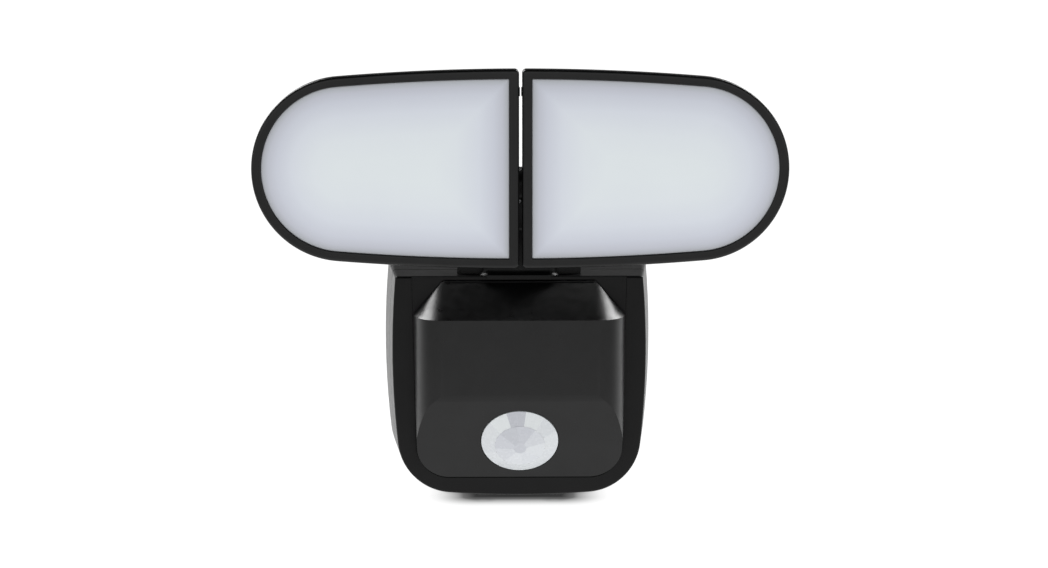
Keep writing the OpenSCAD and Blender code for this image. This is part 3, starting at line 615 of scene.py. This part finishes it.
def pod_solid():
    """A convex form: round front corners, conical roof corners, a slanted lower face."""
    bm = bmesh.new()
    for z in (POD_CREASE, POD_BOTTOM - 1):
        for x, y in pod_plan():
            bm.verts.new(Vector((x, y, z)) * MM)
    for sx in (-1, 1):
        for y in (-BODY_FRONT - 0.1, -BODY_FRONT):
            bm.verts.new(Vector((sx * POD_ROOF_HALF, y, POD_TOP)) * MM)
    bmesh.ops.convex_hull(bm, input=bm.verts[:])
    bmesh.ops.delete(bm, geom=[v for v in bm.verts if not v.link_faces], context="VERTS")
    slant_facing = Vector((0, -math.cos(SLANT), -math.sin(SLANT)))
    cut_plane(bm, Vector((0, -POD_FRONT, POD_KNEE)) * MM, slant_facing)
    # planes that touch the round between the flat front and the slanted face
    steps = 5
    centre = Vector((0, -POD_FRONT + POD_KNEE_R, POD_KNEE + POD_KNEE_R * math.tan(SLANT / 2)))
    for k in range(1, steps):
        a = SLANT * k / steps
        facing = Vector((0, -math.cos(a), -math.sin(a)))
        cut_plane(bm, (centre + facing * POD_KNEE_R) * MM, facing)
    outline = pod_face()
    for (x0, z0), (x1, z1) in zip(outline, outline[1:]):
        cut_plane(bm, Vector((x0, 0, z0)) * MM, Vector((-(z1 - z0), 0, x1 - x0)).normalized())
    bmesh.ops.remove_doubles(bm, verts=bm.verts[:], dist=0.005 * MM)
    bmesh.ops.dissolve_limit(bm, angle_limit=math.radians(0.5), verts=bm.verts[:], edges=bm.edges[:])
    return bm


def make_sensor_housing():
    """The hollow housing with its lens hole, and the plate that lets it into the front shell."""
    obj = to_object(pod_solid(), "sensor_housing_fine")
    bevel(obj, POD_EDGE, 3, 14)
    # open the back and give the walls their thickness
    bm = bmesh.new()
    bm.from_mesh(obj.data)
    bmesh.ops.delete(bm, geom=[f for f in bm.faces if f.normal.y > 0.99], context="FACES")
    bm.to_mesh(obj.data)
    bm.free()
    mod = obj.modifiers.new("walls", "SOLIDIFY")
    mod.thickness = POD_WALL * MM
    mod.offset = -1
    mod.use_even_offset = True
    apply_modifiers(obj)
    cut(obj, cylinder(LENS_D / 2 + LENS_GAP, 20, lens_frame() @ moved(0, 0, -10), 96))
    settle(obj, "black_plastic", "light", "sensor_housing", 24)
    face = pod_face(PLATE_RIM, BODY_TOP - 0.3)
    plate = plate_solid(face, BODY_FRONT - PLATE_T, BODY_FRONT, "sensor_plate")
    bevel(plate, 0.15, 2, 40)
    cut_window(plate)
    settle(plate, "shaded_shell_plastic", "light")


def lens_frame():
    """Z leaves the slanted face at right angles and Y climbs it."""
    return moved(0, LENS_Y, LENS_Z) @ Matrix.Rotation(math.radians(90) + SLANT, 4, "X")


make_sensor_housing()


def make_lens():
    """A dome of flat facets: an outer ring, an inner ring and a small centre."""
    base_r = LENS_D / 2
    dome_r = (base_r**2 + LENS_DOME**2) / (2 * LENS_DOME)
    centre_z = LENS_DOME - dome_r

    def on_dome(radius, angle):
        z = centre_z + math.sqrt(dome_r**2 - radius**2)
        a = math.radians(angle)
        return Vector((radius * math.cos(a), radius * math.sin(a), z)) * MM

    outer_r, mid_r, centre_r = base_r - 0.1, 0.65 * base_r, 0.17 * base_r
    outer_start, inner_start = 21, 8
    bm = bmesh.new()
    facet_light_layer = bm.faces.layers.float.new("facet")

    def facet(points, value):
        f = bm.faces.new([bm.verts.new(p) for p in points])
        f[facet_light_layer] = value

    def facet_ring(painted_lights, start, far, near, cuts):
        """Facets anticlockwise round the axis, each with its far edge in a number of cuts."""
        step = 360 / len(painted_lights)
        for i, value in enumerate(painted_lights):
            a = start + i * step
            edge = [on_dome(far, a + step * k / cuts) for k in range(cuts + 1)]
            facet(edge + [on_dome(near, a + step), on_dome(near, a)], value)

    # each facet's tone is painted light: how brightly that facet catches the studio lights
    outer_painted_light = [0.8, 0.96, 0.48, 1.0, 0.84, 0.76, 0.82, 0.84, 0.9, 0.86, 0.8, 0.86]
    inner_painted_light = [0.66, 0.52, 0.44, 0.56, 0.64, 0.74, 0.7, 0.78]
    centre_painted_light = 0.45
    facet_ring(outer_painted_light, outer_start, outer_r, mid_r, 6)
    facet_ring(inner_painted_light, inner_start, mid_r - 0.05, centre_r, 3)
    step = 360 / len(inner_painted_light)
    facet([on_dome(centre_r, inner_start + k * step) for k in range(len(inner_painted_light))], centre_painted_light)
    # the collar under the dome
    join_rings(bm, [[Vector((*p, z)) * MM for p in circle(outer_r, 72)] for z in (0.1, -3.0)])
    bmesh.ops.recalc_face_normals(bm, faces=bm.faces[:])
    for f in bm.faces:
        if f.normal.z < -0.1:
            f.normal_flip()
    bm.transform(lens_frame())
    settle(to_object(bm, "pir_lens_fine", False), "lens", "light", "pir_lens", 1)


make_lens()


# ---- Lamp heads ----
def head_rings(profile, side):
    """An (inset, depth) profile carried round a head's outline."""
    return [ring_at(head_outline(inset), depth, side) for inset, depth in profile]


def bezel_profile():
    """The bezel's section as (inset, depth), from its back edge round to its inner wall."""
    outer_r, inner_r = 1.5, 0.45
    profile = [(0.0, BEZEL_BACK), (0.0, HEAD_FRONT - 5), (0.0, HEAD_FRONT - outer_r)]
    profile += [(x, HEAD_FRONT - s) for x, s in fillet_steps(outer_r, 7)[1:]]
    profile += [(2.2, HEAD_FRONT), (3.2, HEAD_FRONT)]
    lip = [(HEAD_RIM - x, HEAD_FRONT - s) for x, s in fillet_steps(inner_r, 4)]
    profile += list(reversed(lip))
    profile += [(HEAD_RIM, HEAD_FRONT - 2.4), (2.2, HEAD_FRONT - 2.4), (2.2, BEZEL_BACK)]
    return profile


def make_bezel(hand, side):
    """A bezel with the bumper that keeps it from the other head's."""
    bm = bmesh.new()
    join_rings(bm, head_rings(bezel_profile(), side), True)
    obj = to_object(bm, hand + "_bezel_fine")
    z = HEAD_Z + BUMPER_RISE
    lo, hi = sorted((side * BUMPER_GAP, side * (BUMPER_GAP + BUMPER_OUT)))
    bumper = box((lo, -HEAD_FRONT + 3, z - 2), (hi, -HEAD_FRONT + 7, z + 2))
    bevel(bumper, 0.25)
    apply_boolean(obj, bumper, "UNION")
    settle(obj, "black_plastic", hand + "_head", hand + "_bezel", 50)


def make_diffuser(hand, side):
    """A slightly crowned sheet with a flange; each point holds its distance from the rim."""
    edge = HEAD_RIM + 0.1
    crown, crown_reach, flange_inset = 0.35, 12, 2.4
    insets = [edge + d for d in (0.8, 1.6, 3, 5, 8, 12, 17, 23, 29, 34)]
    rim = [(flange_inset, 4.0), (flange_inset, 2.5), (edge, 2.5), (edge, 1.0)]
    rim += [(edge + 0.1, 0.75), (edge + 0.35, 0.62)]
    profile = [(inset, HEAD_FRONT - set_back) for inset, set_back in rim]
    profile += [(i, HEAD_FRONT - 0.6 + crown * (1 - math.exp(-(i - edge) / crown_reach))) for i in insets]
    bm = bmesh.new()
    layer = bm.verts.layers.float.new("rim_distance")
    deepest = insets[-1] - edge
    for (inset, _), ring in zip(profile, join_capped(bm, head_rings(profile, side))):
        for v in ring:
            v[layer] = max(inset - edge, 0) / deepest
    obj = to_object(bm, hand + "_diffuser_fine")
    settle(obj, "diffuser", hand + "_head", hand + "_diffuser", 40)


def head_screws():
    """The back shell's screws, as (x, z)."""
    bow, end_r = HEAD_BOW_R - SCREW_INSET, HEAD_END_R - SCREW_INSET
    upper = [(x, HEAD_BOW_Z + math.sqrt(bow * bow - x * x) - HEAD_Z) for x in (9.0, 56.0)]
    a = math.radians(32)
    upper.append((HEAD_END_X + end_r * math.cos(a), end_r * math.sin(a)))
    return [(x, HEAD_Z + s * z) for x, z in upper for s in (-1, 1)]


def make_back_shell(hand, side):
    """A round-backed shell with its screw wells, and the two ears that the pan pin goes through."""
    reveal, round_w, steps = 0.15, 15.6, 14
    curve = []
    for i in range(steps + 1):
        t = math.radians(90 * i / steps)
        inset = 0.35 + round_w * (1 - math.cos(t))
        curve.append((inset, BEZEL_BACK - reveal - (BEZEL_BACK - HEAD_BACK - reveal) * math.sin(t)))
    inner = [(i + 2.2, min(d + 2.0, BEZEL_BACK)) for i, d in curve]
    obj = solid(head_rings(curve[::-1] + inner, side), hand + "_back_shell_fine")
    turn = Matrix.Rotation(math.radians(90), 4, "X")
    for x, z in head_screws():
        place = moved(side * x, -BEZEL_BACK + 3.5 + SCREW_WELL, z) @ turn
        cut(obj, cylinder(SCREW_WELL_R, SCREW_WELL, place, 32))
    settle(obj, "black_plastic", hand + "_head", hand + "_back_shell", 30)
    for up, name in ((-1, "_lower_ear"), (1, "_upper_ear")):
        make_ear(hand + name, hand, side, TILT_Z + up * (ARM_HALF + EAR_GAP + EAR_T / 2))


def make_ear(name, hand, side, mid_z):
    """A hinge ear: round at the pan pin, flared where it leaves the back shell."""
    flare = [(EAR_R, -3.0), (EAR_R + 0.4, -6.0), (EAR_R + 1.6, -8.0), (EAR_R + 3.4, -9.3)]
    outline = both_sides(arc(0, 0, EAR_R, 90, 0, 15) + flare)
    plan = [(side * PAN_X + x, y - TILT_Y) for x, y in outline]
    obj = prism(plan, mid_z - EAR_T / 2, mid_z + EAR_T / 2, name)
    bevel(obj, 0.5, 3, 40)
    cut(obj, cylinder(PIN_HOLE_R, 20, moved(side * PAN_X, -TILT_Y, mid_z - 10), 32))
    settle(obj, "black_plastic", hand + "_head")


for hand, side in (("left", -1), ("right", 1)):
    make_bezel(hand, side)
    make_diffuser(hand, side)
    make_back_shell(hand, side)
    refined(hand + "_tilt_arm", "dark_plastic", 0.35)
    refined(hand + "_pan_pin", "steel", 0.3)
    refined(hand + "_head_screws", "steel", 0.12)

# ---- Neck, controls, fasteners and bracket ----
refined("neck", "shaded_shell_plastic", 0.3, 40)
refined("neck_cap", "black_plastic", 0.3)
refined("battery_cover", "black_plastic", 0.25)
refined("wall_bracket", "steel", 0.25)
for node in ("time_dial", "range_dial"):
    refined(node, "dark_plastic", 0.15)
refined("mode_button", "rubber", 0.2)
for node in ("shell_screws", "cover_screws"):
    refined(node, "steel", 0.12)

# Every other CAD node keeps its shape and takes its slot's material.
SLOT_OF = {s["node"]: s["material_slot"] for s in frame["record"]["subparts"]}
for name, obj in frame["nodes"].items():
    if not obj.hide_render:
        obj.data.materials.clear()
        obj.data.materials.append(MATERIALS[SLOT_OF[name]])


# ---- Floor, world and lights ----
def make_floor():
    """A large white light table: it dims toward the camera and where something stands close, and has a
    painted soft shadow under the body.
    """
    bm = bmesh.new()
    half = 60.0
    z = cad_box[0].z - 0.0002
    corners = ((-half, -half), (half, -half), (half, half), (-half, half))
    bm.faces.new([bm.verts.new((x, y, z)) for x, y in corners])
    floor = to_object(bm, "floor")
    tree, shader = new_material("floor")
    preset(shader, Base_Color=(*grey(0.02), 1.0), Roughness=0.9)
    preset(shader, Specular_IOR_Level=0.0, Emission_Strength=1.1)
    place = add(tree, "ShaderNodeSeparateXYZ")
    tree.links.new(add(tree, "ShaderNodeTexCoord").outputs["Object"], place.inputs["Vector"])
    # the lit area widens towards the back of the studio
    across = math_node(tree, "ABSOLUTE", place.outputs["X"])
    widening = math_node(tree, "MULTIPLY", place.outputs["Y"], 0.2)
    aside = math_node(tree, "SUBTRACT", across, widening)
    shade = add(tree, "ShaderNodeAmbientOcclusion", samples=16)
    preset(shade, Distance=0.004)
    soften = add(tree, "ShaderNodeGamma")
    preset(soften, Gamma=0.5)
    tree.links.new(shade.outputs["Color"], soften.inputs["Color"])
    # a painted soft shadow of the body's rounded underside, drawn by the distance from where it stands
    stand_front, stand_back, stand_half, painted_shadow_reach = 0.0435, 0.02, 0.0205, 0.035
    forward = math_node(tree, "MULTIPLY", place.outputs["Y"], -1.0)
    before = math_node(tree, "SUBTRACT", forward, stand_front)
    behind = math_node(tree, "ADD", place.outputs["Y"], stand_back)
    beyond = math_node(tree, "MAXIMUM", math_node(tree, "MAXIMUM", before, behind), 0.0)
    sideways = math_node(tree, "MAXIMUM", math_node(tree, "SUBTRACT", across, stand_half), 0.0)
    squares = [math_node(tree, "POWER", offset, 2.0) for offset in (beyond, sideways)]
    distance = math_node(tree, "SQRT", math_node(tree, "ADD", *squares))
    painted_shadow = fade(tree, distance, 0.0, painted_shadow_reach, [
        (0.0, grey(0.04)), (0.17, grey(0.15)), (0.24, grey(0.33)), (0.39, grey(0.6)), (0.53, grey(0.82)),
        (0.64, grey(0.91)), (0.79, grey(0.97)), (1.0, grey(1.0)),
    ])
    contact_shade = multiply(tree, painted_shadow, soften.outputs["Color"])
    near = fade(tree, place.outputs["Y"], -1.0, -0.26, [(0.0, grey(0.55)), (1.0, grey(1.0))])
    # beside the lit area the floor is dimmer in front of the light than behind it
    beside = fade(tree, place.outputs["Y"], -0.3, 0.6, [
        (0.0, grey(0.5)), (0.33, grey(0.5)), (0.6, grey(0.8)), (1.0, grey(1.1)),
    ])
    glow = blend(tree, "MIX", near, beside, share(tree, aside, 0.28, 0.7))
    tree.links.new(multiply(tree, glow, contact_shade), shader.inputs["Emission Color"])
    floor.data.materials.append(MATERIALS["floor"])


def make_world():
    """A light tent that is bright low down in front, dim behind and black overhead."""
    world = bpy.data.worlds.new("studio")
    bpy.context.scene.world = world
    world.use_nodes = True
    tree = world.node_tree
    shade = tree.nodes["Background"]
    coords = add(tree, "ShaderNodeTexCoord")
    split = add(tree, "ShaderNodeSeparateXYZ")
    tree.links.new(coords.outputs["Generated"], split.inputs["Vector"])
    height = ramp(tree, split.outputs["Z"], [
        (0.0, grey(0.8)), (0.3, grey(0.8)), (0.45, grey(0.3)), (0.6, grey(0.03)), (0.75, grey(0.003)),
    ])
    front = fade(tree, split.outputs["Y"], 1.0, -1.0, [
        (0.0, grey(0.12)), (0.3, grey(0.15)), (0.5, grey(0.4)), (0.7, grey(0.9)), (1.0, grey(1.0)),
    ])
    tree.links.new(multiply(tree, height, front), shade.inputs["Color"])
    shade.inputs["Strength"].default_value = 1.63


def make_light(name, location, target, size, energy):
    """A rectangular softbox that faces a target."""
    data = bpy.data.lights.new(name, "AREA")
    data.shape = "RECTANGLE"
    data.size, data.size_y = size
    data.energy = energy
    lamp = bpy.data.objects.new(name, data)
    bpy.context.scene.collection.objects.link(lamp)
    lamp.location = location
    lamp.rotation_mode = "QUATERNION"
    lamp.rotation_quaternion = (Vector(target) - Vector(location)).to_track_quat("-Z", "Y")


make_floor()
make_world()
for side in (-1, 1):
    make_light("softbox", (side * 0.75, 0.65, 0.85), (0, -0.06, 0.05), (0.5, 0.9), 17)
bpy.context.scene.view_settings.view_transform = "Standard"
